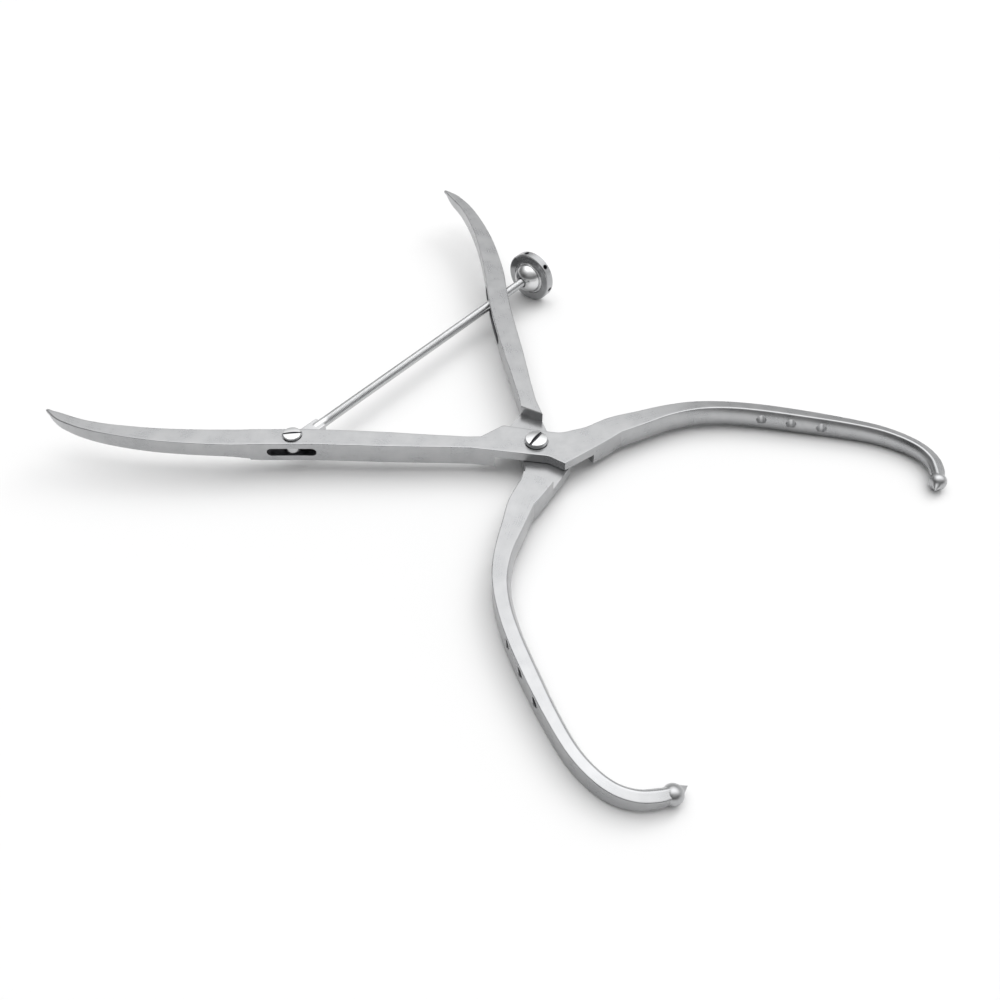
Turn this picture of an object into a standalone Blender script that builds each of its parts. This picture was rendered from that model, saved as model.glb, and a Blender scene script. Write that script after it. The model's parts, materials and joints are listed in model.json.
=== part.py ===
"""Bone reduction forceps with pointed ball tips and a spindle lock, lying open.

X runs along the instrument towards the jaws, Z is up. The joint's axis is the world Z axis, and the underside of
the joint is at Z = 0. Each arm is drawn in the closed instrument, where its handle lies at -Y and its jaw at +Y,
and is then turned about the joint by half of the opening. The second arm is the mirror image of the first, with
the other half of the lap joint.
"""

import math

import bmesh
import bpy
from mathutils import Matrix, Vector

MM = 0.001

# Overall
OPENING = math.radians(65.0)
HANDLE_LENGTH = 224.0 * MM
HANDLE_BOW = 21.9 * MM
JAW_LENGTH = 174.6 * MM
JAW_BOW = 39.0 * MM
ARM_HEIGHT = 10.0 * MM
ARM_WIDTH = 10.2 * MM
EDGE_ROUNDING = 0.8 * MM
CLEARANCE = 0.3 * MM

# Handle: its thinner grip from its end to the step, then the full bar from the step to the joint. Each row tells
# how far along (-X) the middle lies, as a share of that stretch's length, how far off the centre line (-Y), as a
# share of HANDLE_BOW, and its share of ARM_WIDTH and of ARM_HEIGHT
GRIP_SHAPE = (
    (1.000, 0.65, 0.42, 0.46),
    (0.916, 0.80, 0.50, 0.56),
    (0.811, 0.92, 0.56, 0.65),
    (0.665, 0.99, 0.65, 0.73),
    (0.455, 1.00, 0.81, 0.74),
    (0.266, 0.94, 0.92, 0.74),
    (0.088, 0.845, 1.00, 0.75),
    (0.000, 0.78, 1.01, 0.87),
)
BAR_SHAPE = (
    (1.000, 0.77, 1.01, 0.96),
    (0.939, 0.71, 1.00, 1.00),
    (0.798, 0.575, 1.00, 1.00),
    (0.649, 0.475, 0.97, 1.00),
    (0.509, 0.39, 0.93, 1.00),
    (0.391, 0.32, 0.83, 1.00),
    (0.305, 0.265, 0.77, 1.00),
    (0.235, 0.224, 0.73, 1.00),
)
STEP_MARGIN = 0.3 * MM
STEP_LENGTH = 0.8 * MM
HANDLE_END_LENGTH = 2.6 * MM

# Jaw, from the joint to the ball: the same along +X and +Y, as shares of JAW_LENGTH and JAW_BOW, with how far
# its inner side is rounded, from 0 to 1
JAW_SHAPE = (
    (0.000, 0.00, 0.90, 1.00, 0.0),
    (0.103, 0.14, 0.95, 1.00, 0.0),
    (0.192, 0.43, 1.10, 1.00, 0.1),
    (0.257, 0.605, 1.00, 1.01, 0.4),
    (0.318, 0.77, 0.86, 1.04, 0.6),
    (0.374, 0.885, 0.79, 1.06, 0.8),
    (0.423, 0.95, 0.74, 1.06, 0.9),
    (0.489, 0.992, 0.71, 1.06, 1.0),
    (0.570, 1.00, 0.71, 1.05, 1.0),
    (0.677, 0.97, 0.69, 1.03, 1.0),
    (0.782, 0.923, 0.62, 0.99, 1.0),
    (0.867, 0.856, 0.58, 0.92, 1.0),
    (0.926, 0.754, 0.57, 0.86, 1.0),
    (0.967, 0.626, 0.57, 0.77, 1.0),
    (0.992, 0.462, 0.58, 0.65, 1.0),
    (1.000, 0.297, 0.58, 0.57, 1.0),
)
NECK_SHAPE = (0.52, 0.53, 1.0)
JAW_BULGE = 1.8 * MM
SECTION_STEP = 4.0 * MM
END_RINGS = 3
SOFT_SECTIONS = 10
SOFT_GAIN = 2.0

# Pointed ball
BALL_RADIUS = 3.9 * MM
BALL_DROP = 0.2 * MM
POINT_REACH = 6.2 * MM
POINT_GAP = 0.3 * MM

# Cross holes in the jaw
JAW_HOLE_RADIUS = 2.15 * MM
JAW_HOLE_FIRST = 100.0 * MM
JAW_HOLE_PITCH = 13.6 * MM
JAW_HOLE_HEIGHT = 5.9 * MM
JAW_HOLE_COUNT = 3

# Lap joint
LAP_HEIGHT = 5.4 * MM
BOX_HALF_WIDTH = 8.3 * MM
BOX_REACH = 34.0 * MM
BOX_FLARE = 3.6 * MM
SHOULDER_ANGLE = math.radians(44.0)
HANDLE_SHOULDER = 17.8 * MM
JAW_SHOULDER = 18.5 * MM
SHOULDER_GAP = 0.4 * MM

# Pivot screw
PIVOT_SHANK_RADIUS = 3.0 * MM
PIVOT_HEAD_RADIUS = 5.0 * MM
PIVOT_HEAD_HEIGHT = 2.7 * MM
PIVOT_HEAD_SEAT = 0.5 * MM
PIVOT_CROWN = 0.45 * MM
PIVOT_EDGE = 0.5 * MM
PIVOT_SLOT_WIDTH = 1.3 * MM
PIVOT_SLOT_DEPTH = 1.1 * MM
PIVOT_SLOT_TURN = math.radians(98.0)

# Spindle: eye and tang in handle A, rod through handle B, which it crosses ROD_DRIFT further out
THREAD_RADIUS = 2.3 * MM
SPINDLE_REACH = 108.7 * MM
SPINDLE_INSET = 0.7 * MM
ROD_DRIFT = 7.9 * MM
EYE_RADIUS = 3.3 * MM
TANG_HEIGHT = 3.3 * MM
TANG_LENGTH = 17.2 * MM
ROD_ROOT = 5.0 * MM
ROD_TAPER = 1.5 * MM
STUD_RADIUS = 1.4 * MM
STUD_LENGTH = 2.6 * MM

# Slots in the handles, the second one measured from the spindle's screw towards the joint and away from it
EYE_SLOT_LENGTH = 22.0 * MM
ROD_SLOT_INWARD = 28.7 * MM
ROD_SLOT_OUTWARD = 18.8 * MM

# Spindle screw
PIN_RADIUS = 1.8 * MM
PIN_HEAD_RADIUS = 4.15 * MM
PIN_HEAD_HEIGHT = 1.5 * MM
PIN_HEAD_SEAT = 0.5 * MM
PIN_CROWN = 0.2 * MM
PIN_EDGE = 0.45 * MM
PIN_FLOOR = 1.4 * MM
PIN_SLOT_WIDTH = 0.8 * MM
PIN_SLOT_DEPTH = 0.6 * MM
PIN_SLOT_TURN = math.radians(48.0)

# Knob and its seat: SEAT_STANDOFF is from the middle of handle B to the knob's inner face
SEAT_STANDOFF = 26.2 * MM
KNOB_RADIUS = 13.1 * MM
KNOB_WIDTH = 4.9 * MM
KNOB_CHAMFER = 0.5 * MM
KNOB_HOLE_RADIUS = 1.15 * MM
KNOB_HOLE_DEPTH = 4.5 * MM
KNOB_HOLE_COUNT = 6
KNOB_HOLE_TURN = math.radians(-15.0)
DOME_RADIUS = 8.1 * MM
DOME_HEIGHT = 6.8 * MM
SEAT_RIM_RADIUS = 8.8 * MM
SEAT_RIM_DEPTH = 0.9 * MM

# End stop
STOP_RADIUS = 3.6 * MM
STOP_LENGTH = 2.0 * MM
STOP_CHAMFER = 0.4 * MM
STOP_GAP = 0.6 * MM

# Running fits
PIVOT_FIT = 0.2 * MM
THREAD_FIT = 0.25 * MM

ROD_HEIGHT = 0.5 * ARM_HEIGHT
BALL_OFFSET = POINT_REACH + POINT_GAP / 2
ROUND_STEPS = 40
CORNER_STEPS = 3
CROWN_STEPS = 3
THROUGH = 40.0 * MM


# Scene, collections and materials


def clear_scene():
    for obj in list(bpy.data.objects):
        bpy.data.objects.remove(obj, do_unlink=True)


def new_collection(name):
    made = bpy.data.collections.new(name)
    bpy.context.scene.collection.children.link(made)
    return made


def steel(name, colour, roughness):
    made = bpy.data.materials.new(name)
    made.use_nodes = True
    shader = made.node_tree.nodes["Principled BSDF"]
    shader.inputs["Base Color"].default_value = (*colour, 1.0)
    shader.inputs["Metallic"].default_value = 1.0
    shader.inputs["Roughness"].default_value = roughness
    made.diffuse_color = (*colour, 1.0)
    return made


def add_object(name, mesh, collection, material=None):
    made = bpy.data.objects.new(name, mesh)
    collection.objects.link(made)
    if material:
        mesh.materials.append(material)
    if collection is helpers:
        made.hide_render = True
        made.display_type = "WIRE"
    return made


def empty_at(name, location, turn, parent=None):
    made = bpy.data.objects.new(name, None)
    pieces.objects.link(made)
    made.empty_display_size = 10 * MM
    made.location = location
    made.rotation_euler = turn
    made.parent = parent
    return made


# Outlines and simple solids


def fillet(before, corner, after, radius):
    """Points of the arc that rounds a corner, or the corner itself."""
    if not radius:
        return [corner]
    back, ahead = (before - corner).normalized(), (after - corner).normalized()
    half = back.angle(ahead) / 2
    bisector = (back + ahead).normalized()
    centre = corner + bisector * (radius / math.sin(half))
    start = corner + back * (radius / math.tan(half)) - centre
    end = corner + ahead * (radius / math.tan(half)) - centre
    turn = start.angle_signed(end)
    count = max(2, round(abs(turn) / math.radians(15)))
    return [centre + Matrix.Rotation(-turn * i / count, 2) @ start for i in range(count + 1)]


def rounded(corners):
    """A closed outline from (x, y, corner radius)."""
    points = [Vector((x, y)) for x, y, _ in corners]
    outline = []
    for i, (_, _, radius) in enumerate(corners):
        outline += fillet(points[i - 1], points[i], points[(i + 1) % len(points)], radius)
    return outline


def plate(name, outline, low, high, collection):
    """A flat solid with this outline, from the height low to high."""
    curve = bpy.data.curves.new(name, "CURVE")
    curve.dimensions = "2D"
    curve.fill_mode = "BOTH"
    curve.extrude = (high - low) / 2
    spline = curve.splines.new("POLY")
    spline.points.add(len(outline) - 1)
    for point, place in zip(spline.points, outline):
        point.co = (place[0], place[1], 0.0, 1.0)
    spline.use_cyclic_u = True
    drawn = bpy.data.objects.new(name + "_curve", curve)
    bpy.context.scene.collection.objects.link(drawn)
    graph = bpy.context.evaluated_depsgraph_get()
    mesh = bpy.data.meshes.new_from_object(drawn.evaluated_get(graph))
    bpy.data.objects.remove(drawn)
    work = bmesh.new()
    work.from_mesh(mesh)
    bmesh.ops.remove_doubles(work, verts=work.verts, dist=0.001 * MM)
    bmesh.ops.translate(work, verts=work.verts, vec=(0, 0, (low + high) / 2))
    bmesh.ops.recalc_face_normals(work, faces=work.faces)
    work.to_mesh(mesh)
    work.free()
    return add_object(name, mesh, collection)


def slot_outline(length, width):
    """A slot with round ends, along X."""
    half, end = length / 2, width / 2
    corners = ((-half, -end), (half, -end), (half, end), (-half, end))
    return rounded([(x, y, end * 0.999) for x, y in corners])


def cylinder(name, radius, length, collection=None, vertices=ROUND_STEPS):
    """A cylinder along Z, centred."""
    mesh = bpy.data.meshes.new(name)
    work = bmesh.new()
    bmesh.ops.create_cone(
        work, cap_ends=True, segments=vertices, radius1=radius, radius2=radius, depth=length
    )
    work.to_mesh(mesh)
    work.free()
    return add_object(name, mesh, collection or helpers)


def box(name, size):
    mesh = bpy.data.meshes.new(name)
    work = bmesh.new()
    bmesh.ops.create_cube(work, size=1.0)
    bmesh.ops.scale(work, verts=work.verts, vec=size)
    work.to_mesh(mesh)
    work.free()
    return add_object(name, mesh, helpers)


def turned(name, profile, collection, material=None, steps=ROUND_STEPS):
    """A turned solid about Z, from (radius, height) points that run down its outer side."""
    mesh = bpy.data.meshes.new(name)
    edges = [(i, i + 1) for i in range(len(profile) - 1)]
    if profile[0][0] > 0:
        edges.append((len(profile) - 1, 0))
    mesh.from_pydata([(radius, 0.0, height) for radius, height in profile], edges, [])
    made = add_object(name, mesh, collection, material)
    screw = made.modifiers.new("turn", "SCREW")
    screw.steps = steps
    screw.render_steps = steps
    screw.use_merge_vertices = True
    screw.merge_threshold = 0.000001
    screw.use_smooth_shade = True
    return made


def arc(centre, radius, first, last, count):
    """(radius, height) points on an arc about a centre on a turned profile."""
    angles = (math.radians(first + (last - first) * i / count) for i in range(count + 1))
    return [(centre[0] + radius * math.cos(a), centre[1] + radius * math.sin(a)) for a in angles]


def crowned(radius, top, drop, edge):
    """(radius, height) points over a screw head's low crown and its round edge, down to its side."""
    flat = radius - edge
    steps = [k / CROWN_STEPS for k in range(CROWN_STEPS + 1)]
    crown = [(flat * share, top - drop * share**2) for share in steps]
    return crown + arc((flat, top - drop - edge), edge, 60, 0, 2)


def combine(obj, other, operation):
    """A Boolean with a helper, which is placed in the object's own frame and moves with it."""
    other.parent = obj
    modifier = obj.modifiers.new(f"{operation.lower()} {other.name}", "BOOLEAN")
    modifier.operation = operation
    modifier.solver = "EXACT"
    modifier.object = other


def smooth(obj, degrees=35):
    obj.data.shade_smooth()
    obj.data.set_sharp_from_angle(angle=math.radians(degrees))


# The arm's course


def hermite(rows, spacing):
    """A smooth run through rows of numbers, at about this spacing in X and Y."""
    at = [0.0]
    for one, two in zip(rows, rows[1:]):
        at.append(at[-1] + math.hypot(two[0] - one[0], two[1] - one[1]))
    slopes = []
    for i, row in enumerate(rows):
        low, high = max(i - 1, 0), min(i + 1, len(rows) - 1)
        slopes.append([(b - a) / (at[high] - at[low]) for a, b in zip(rows[low], rows[high])])
    made = []
    for i in range(len(rows) - 1):
        length = at[i + 1] - at[i]
        steps = max(1, round(length / spacing))
        for k in range(steps):
            t = k / steps
            weights = (
                2 * t**3 - 3 * t**2 + 1,
                (t**3 - 2 * t**2 + t) * length,
                3 * t**2 - 2 * t**3,
                (t**3 - t**2) * length,
            )
            values = zip(rows[i], slopes[i], rows[i + 1], slopes[i + 1])
            made.append(tuple(sum(w * v for w, v in zip(weights, four)) for four in values))
    made.append(tuple(rows[-1]))
    return made


def arm_course():
    """(x, y, width, height, rounding of the inner side) from the handle's end to the ball, in the closed pose."""
    bar_length = SPINDLE_REACH + ROD_SLOT_OUTWARD + STEP_MARGIN
    grip_start = bar_length + STEP_LENGTH
    grip_length = HANDLE_LENGTH - grip_start
    places = [(grip_start + x * grip_length, *rest) for x, *rest in GRIP_SHAPE]
    places += [(x * bar_length, *rest) for x, *rest in BAR_SHAPE]
    rows = [(-x, -y * HANDLE_BOW, w * ARM_WIDTH, h * ARM_HEIGHT, 0.0) for x, y, w, h in places]
    rows += [
        (x * JAW_LENGTH, y * JAW_BOW, w * ARM_WIDTH, h * ARM_HEIGHT, rounding)
        for x, y, w, h, rounding in JAW_SHAPE
    ]
    width, height, rounding = NECK_SHAPE
    neck = BALL_OFFSET + BALL_RADIUS / 3
    rows.append((JAW_LENGTH, neck, width * ARM_WIDTH, height * ARM_HEIGHT, rounding))
    return hermite(rows, SECTION_STEP)


def course_at(course, x):
    """Middle and direction of the arm where it passes x."""
    for one, two in zip(course, course[1:]):
        if one[0] <= x <= two[0]:
            share = (x - one[0]) / (two[0] - one[0])
            middle = Vector((x, one[1] + share * (two[1] - one[1])))
            return middle, Vector((two[0] - one[0], two[1] - one[1])).normalized()
    raise ValueError(x)


def section(width, height, rounding, corner):
    """Outline across the arm as (sideways, up) from the middle of its top: left side plain, right side rounded."""
    half = width / 2
    corner = min(corner, 0.45 * width, 0.45 * height)
    quarter = [math.pi / 2 * i / CORNER_STEPS for i in range(CORNER_STEPS + 1)]
    centres = (
        (half - corner, -corner, 0.0),
        (corner - half, -corner, math.pi / 2),
        (corner - half, corner - height, math.pi),
        (half - corner, corner - height, 1.5 * math.pi),
    )
    ring = [
        (x + corner * math.cos(start + a), z + corner * math.sin(start + a))
        for x, z, start in centres
        for a in quarter
    ]
    first, count = CORNER_STEPS + 1, 2 * CORNER_STEPS + 2
    for i in range(count):
        level = 1 - 2 * i / (count - 1)
        bulged = (JAW_BULGE * level**2 - half, (level - 1) * height / 2)
        plain = ring[first + i]
        ring[first + i] = tuple(p + rounding * (b - p) for p, b in zip(plain, bulged))
    return ring


def edge_rounding(i, count):
    """Corner radius of a section: the edges grow rounder over the last sections at both ends."""
    nearness = max(0.0, 1 - min(i, count - 1 - i) / SOFT_SECTIONS)
    return EDGE_ROUNDING * (1 + SOFT_GAIN * nearness)


def end_rings(middle, ahead, width, height):
    """Sections that shrink to the handle's round end, as (place, width, height, drop from the top)."""
    rings = []
    for k in range(END_RINGS, 0, -1):
        turn = math.pi / 2 * k / (END_RINGS + 0.5)
        shrink = math.cos(turn)
        place = middle - ahead * HANDLE_END_LENGTH * math.sin(turn)
        low = 0.3 + 0.7 * shrink
        rings.append((place, width * shrink, height * low, height * (1 - low) / 2))
    return rings


def arm_body(name, side, material):
    """The loft from the handle's round end to the ball's neck. side is -1 for the mirror image."""
    course = arm_course()
    rings = []
    for i, (x, y, width, height, rounding) in enumerate(course):
        before, after = course[max(i - 1, 0)], course[min(i + 1, len(course) - 1)]
        ahead = Vector((after[0] - before[0], after[1] - before[1])).normalized()
        across = Vector((-ahead.y, ahead.x))
        corner = edge_rounding(i, len(course))
        sections = [(Vector((x, y)), width, height, 0.0)]
        if i == 0:
            sections = end_rings(sections[0][0], ahead, width, height) + sections
        for middle, wide, tall, drop in sections:
            ring = section(wide, tall, rounding, corner)
            rings.append([(*(middle + across * s), ARM_HEIGHT + z - drop) for s, z in ring])
    work = bmesh.new()
    made = [[work.verts.new((x, side * y, z)) for x, y, z in ring] for ring in rings]
    for one, two in zip(made, made[1:]):
        for i in range(len(one)):
            j = (i + 1) % len(one)
            work.faces.new((one[i], one[j], two[j], two[i]))
    work.faces.new(made[0])
    work.faces.new(made[-1])
    bmesh.ops.recalc_face_normals(work, faces=work.faces)
    mesh = bpy.data.meshes.new(name)
    work.to_mesh(mesh)
    work.free()
    return add_object(name, mesh, pieces, material)


def on_line(distance, angle, y):
    """x where the line at this distance from the pivot, facing the angle, has this y."""
    return (distance - y * math.sin(angle)) / math.cos(angle)


def joint_box(side):
    """The wide flat part of the arm round the pivot, with the two shoulders that meet the other arm."""
    wide = BOX_HALF_WIDTH
    handle_normal, jaw_normal = math.pi - SHOULDER_ANGLE, -SHOULDER_ANGLE
    course = arm_course()
    bar, _ = course_at(course, -BOX_REACH)
    root, ahead = course_at(course, BOX_REACH)
    across = Vector((-ahead.y, ahead.x)) * ARM_WIDTH
    outer, inner = root - across * 0.55, root + across * 0.42 - ahead * 2 * MM
    corners = [
        (on_line(HANDLE_SHOULDER, handle_normal, -wide / 2), -wide / 2, 0),
        (bar.x, bar.y + 0.1 * ARM_WIDTH, 0),
        (bar.x, bar.y - 0.3 * ARM_WIDTH, 0),
        (0.8 * wide, -wide, 6 * MM),
        (on_line(JAW_SHOULDER, jaw_normal, -wide - BOX_FLARE), -wide - BOX_FLARE, 0.5 * MM),
        (on_line(JAW_SHOULDER, jaw_normal, 0.3 * wide), 0.3 * wide, 0),
        (outer.x, outer.y, 0),
        (root.x, root.y, 0),
        (inner.x, inner.y, 0),
        (2.35 * wide, 1.52 * wide, 15 * MM),
        (1.2 * wide, 0.92 * wide, 9 * MM),
        (-0.5 * wide, 0.95 * wide, 30 * MM),
        (on_line(HANDLE_SHOULDER, handle_normal, 1.05 * wide), 1.05 * wide, 2.4 * MM),
    ]
    outline = [(x, side * y) for x, y in rounded(corners)]
    return plate(f"joint_box_{side}", outline, 0.0, ARM_HEIGHT, helpers)


def lap_cut(side, low, high):
    """What is taken off one arm to let the other through, between the two steps."""
    handle_normal, jaw_normal = math.pi + SHOULDER_ANGLE, SHOULDER_ANGLE
    out = THROUGH / 2
    handle_step, jaw_step = HANDLE_SHOULDER + SHOULDER_GAP, JAW_SHOULDER + SHOULDER_GAP
    corners = (
        (on_line(handle_step, handle_normal, out), out),
        (on_line(handle_step, handle_normal, -out), -out),
        (on_line(jaw_step, jaw_normal, -out), -out),
        (on_line(jaw_step, jaw_normal, out), out),
    )
    outline = [Vector((x, side * y)) for x, y in corners]
    return plate(f"lap_cut_{side}", outline, low, high, helpers)


def pointed_ball(side):
    """Ball with a conical point that runs off it as a tangent, facing the other jaw."""
    touch = math.degrees(math.acos(BALL_RADIUS / POINT_REACH))
    profile = [(0.0, POINT_REACH)] + arc((0, 0), BALL_RADIUS, 90 - touch, -90, 12)
    profile[-1] = (0.0, -BALL_RADIUS)
    made = turned(f"pointed_ball_{side}", profile, helpers, steps=32)
    made.location = (JAW_LENGTH, side * BALL_OFFSET, ARM_HEIGHT - BALL_RADIUS - BALL_DROP)
    made.rotation_euler = (side * math.pi / 2, 0, 0)
    return made


def spindle_pivot():
    """Where the spindle's eye turns on handle A in the closed pose."""
    middle, _ = course_at(arm_course(), -SPINDLE_REACH)
    return middle + Vector((0, SPINDLE_INSET))


def handle_slot(name, side, place, length, height):
    """A slot with round ends through the handle's bar from side to side."""
    _, ahead = course_at(arm_course(), place.x)
    made = plate(name, slot_outline(length, height), -THROUGH / 4, THROUGH / 4, helpers)
    made.rotation_euler = (math.pi / 2, 0, side * math.atan2(ahead.y, ahead.x))
    made.location = (place.x, side * place.y, ROD_HEIGHT)
    return made


def jaw_holes(obj, side):
    course = arm_course()
    for i in range(JAW_HOLE_COUNT):
        x = JAW_HOLE_FIRST + i * JAW_HOLE_PITCH
        middle, ahead = course_at(course, x)
        hole = cylinder(f"jaw_hole_{side}_{i}", JAW_HOLE_RADIUS, THROUGH / 2, vertices=24)
        hole.location = (x, side * middle.y, JAW_HOLE_HEIGHT)
        hole.rotation_euler = (math.pi / 2, 0, side * math.atan2(ahead.y, ahead.x))
        combine(obj, hole, "DIFFERENCE")


def arm(name, side, material):
    """One arm in the closed pose, with the joint's half lap, its jaw holes and its pointed ball."""
    made = arm_body(name, side, material)
    box_part, ball = joint_box(side), pointed_ball(side)
    combine(made, box_part, "UNION")
    combine(made, ball, "UNION")
    upper = side > 0
    low = -THROUGH / 2 if upper else LAP_HEIGHT - CLEARANCE / 2
    high = LAP_HEIGHT + CLEARANCE / 2 if upper else THROUGH / 2
    combine(made, lap_cut(side, low, high), "DIFFERENCE")
    bore = cylinder(f"pivot_bore_{side}", PIVOT_SHANK_RADIUS + PIVOT_FIT, THROUGH)
    combine(made, bore, "DIFFERENCE")
    jaw_holes(made, side)
    return made


def sink(obj, name, radius, depth, place=(0.0, 0.0)):
    """A round recess from the arm's top."""
    cutter = cylinder(name, radius, 2 * depth)
    cutter.location = (*place, ARM_HEIGHT)
    combine(obj, cutter, "DIFFERENCE")


def arm_a():
    """The arm with the upper half of the lap, the pivot screw's seat and the spindle's slot."""
    made = arm("arm_a", 1, satin)
    place = spindle_pivot()
    slot = handle_slot("eye_slot", 1, place, EYE_SLOT_LENGTH, TANG_HEIGHT + 2 * CLEARANCE)
    combine(made, slot, "DIFFERENCE")
    sink(made, "pivot_seat", PIVOT_HEAD_RADIUS + CLEARANCE, PIVOT_HEAD_SEAT)
    sink(made, "pin_bore", PIN_RADIUS + PIVOT_FIT, ARM_HEIGHT - PIN_FLOOR, place)
    sink(made, "pin_seat", PIN_HEAD_RADIUS + CLEARANCE, PIN_HEAD_SEAT, place)
    made.rotation_euler.z = OPENING / 2
    return made


def arm_b():
    """The arm with the lower half of the lap and the slot that the rod runs through."""
    made = arm("arm_b", -1, satin)
    middle = -SPINDLE_REACH + (ROD_SLOT_INWARD - ROD_SLOT_OUTWARD) / 2
    centre, _ = course_at(arm_course(), middle)
    length = ROD_SLOT_INWARD + ROD_SLOT_OUTWARD
    slot = handle_slot("rod_slot", -1, centre, length, 2 * (THREAD_RADIUS + CLEARANCE))
    combine(made, slot, "DIFFERENCE")
    made.rotation_euler.z = -OPENING / 2
    return made


def driver_slot(obj, width, depth, turn, head_radius, top):
    """A straight slot across a screw's head."""
    cutter = box(obj.name + "_slot", (3 * head_radius, width, 2 * depth))
    cutter.location.z = top
    cutter.rotation_euler.z = turn
    combine(obj, cutter, "DIFFERENCE")


def pivot_screw():
    """Crowned slotted head on arm A, shank threaded into arm B with its end flush underneath."""
    low = ARM_HEIGHT - PIVOT_HEAD_SEAT + CLEARANCE
    top = ARM_HEIGHT + PIVOT_HEAD_HEIGHT
    profile = crowned(PIVOT_HEAD_RADIUS, top, PIVOT_CROWN, PIVOT_EDGE) + [
        (PIVOT_HEAD_RADIUS, low),
        (PIVOT_SHANK_RADIUS, low),
        (PIVOT_SHANK_RADIUS, 0.0),
        (0.0, 0.0),
    ]
    made = turned("pivot_screw", profile, pieces, polished)
    driver_slot(made, PIVOT_SLOT_WIDTH, PIVOT_SLOT_DEPTH, PIVOT_SLOT_TURN, PIVOT_HEAD_RADIUS, top)
    return made


def world_pivot():
    """Where the spindle's eye turns, with arm A opened."""
    place = Matrix.Rotation(OPENING / 2, 2) @ spindle_pivot()
    return Vector((place.x, place.y, ROD_HEIGHT))


def world_crossing():
    """Where the rod's axis crosses the middle of handle B, with arm B opened."""
    middle, _ = course_at(arm_course(), -SPINDLE_REACH - ROD_DRIFT)
    place = Matrix.Rotation(-OPENING / 2, 2) @ Vector((middle.x, -middle.y))
    return Vector((place.x, place.y, ROD_HEIGHT))


def spindle_screw():
    """Low round head on handle A; its plain end runs through the spindle's eye into the bar's lower wall."""
    low = ARM_HEIGHT - PIN_HEAD_SEAT + CLEARANCE
    top = ARM_HEIGHT + PIN_HEAD_HEIGHT
    profile = crowned(PIN_HEAD_RADIUS, top, PIN_CROWN, PIN_EDGE) + [
        (PIN_HEAD_RADIUS, low),
        (PIN_RADIUS, low),
        (PIN_RADIUS, PIN_FLOOR + CLEARANCE),
        (0.0, PIN_FLOOR + CLEARANCE),
    ]
    made = turned("spindle_screw", profile, pieces, polished)
    driver_slot(made, PIN_SLOT_WIDTH, PIN_SLOT_DEPTH, PIN_SLOT_TURN, PIN_HEAD_RADIUS, top)
    place = world_pivot()
    made.location = (place.x, place.y, 0.0)
    return made


def spindle(axis, length):
    """Eye and flat tang, rod of this length and riveting stud, along the axis empty's X."""
    half = EYE_RADIUS
    corners = [
        (-EYE_RADIUS, -half, half * 0.999),
        (TANG_LENGTH, -half, 0.8 * MM),
        (TANG_LENGTH, half, 0.8 * MM),
        (-EYE_RADIUS, half, half * 0.999),
    ]
    made = plate("spindle", rounded(corners), -TANG_HEIGHT / 2, TANG_HEIGHT / 2, pieces)
    made.data.materials.append(satin)
    start = TANG_LENGTH - ROD_ROOT
    profile = [
        (0.0, length + STUD_LENGTH),
        (STUD_RADIUS, length + STUD_LENGTH),
        (STUD_RADIUS, length),
        (THREAD_RADIUS, length),
        (THREAD_RADIUS, start + ROD_TAPER),
        (TANG_HEIGHT / 2, start),
        (0.0, start),
    ]
    rod = turned("rod", profile, helpers, steps=32)
    rod.rotation_euler.y = math.pi / 2
    eye = cylinder("eye_bore", PIN_RADIUS + THREAD_FIT, THROUGH, vertices=32)
    combine(made, rod, "UNION")
    combine(made, eye, "DIFFERENCE")
    made.parent = axis
    return made


def ball_seat(axis, place):
    """Domed thrust washer: the dome faces the handle, its rim lies in the knob's recess."""
    bore = THREAD_RADIUS + CLEARANCE
    back = SEAT_RIM_DEPTH - CLEARANCE
    centre = DOME_HEIGHT - DOME_RADIUS
    first = math.degrees(math.acos(bore / DOME_RADIUS))
    foot = math.degrees(math.asin(-centre / DOME_RADIUS)) if centre < 0 else 0.0
    dome = arc((0, centre), DOME_RADIUS, first, foot, 9)
    profile = dome + [(SEAT_RIM_RADIUS, 0.0), (SEAT_RIM_RADIUS, -back), (bore, -back)]
    made = turned("ball_seat", profile, pieces, polished, steps=48)
    made.rotation_euler.y = -math.pi / 2
    made.location.x = place
    made.parent = axis
    return made


def knob(axis, place):
    """Round nut: bore, recess for the seat's rim, and radial holes round the edge."""
    bore, edge = THREAD_RADIUS + THREAD_FIT, KNOB_CHAMFER
    recess = SEAT_RIM_RADIUS + CLEARANCE
    profile = [
        (bore, KNOB_WIDTH),
        (KNOB_RADIUS - edge, KNOB_WIDTH),
        (KNOB_RADIUS, KNOB_WIDTH - edge),
        (KNOB_RADIUS, edge),
        (KNOB_RADIUS - edge, 0.0),
        (recess, 0.0),
        (recess, SEAT_RIM_DEPTH),
        (bore, SEAT_RIM_DEPTH),
    ]
    made = turned("knob", profile, pieces, satin, steps=48)
    made.rotation_euler.y = math.pi / 2
    made.location.x = place
    made.parent = axis
    for i in range(KNOB_HOLE_COUNT):
        turn = KNOB_HOLE_TURN + i * 2 * math.pi / KNOB_HOLE_COUNT
        hole = cylinder(f"knob_hole_{i}", KNOB_HOLE_RADIUS, 2 * KNOB_HOLE_DEPTH, vertices=16)
        hole.location = (KNOB_RADIUS * math.cos(turn), KNOB_RADIUS * math.sin(turn), KNOB_WIDTH / 2)
        hole.rotation_euler = (0, math.pi / 2, turn)
        combine(made, hole, "DIFFERENCE")
    return made


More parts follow.
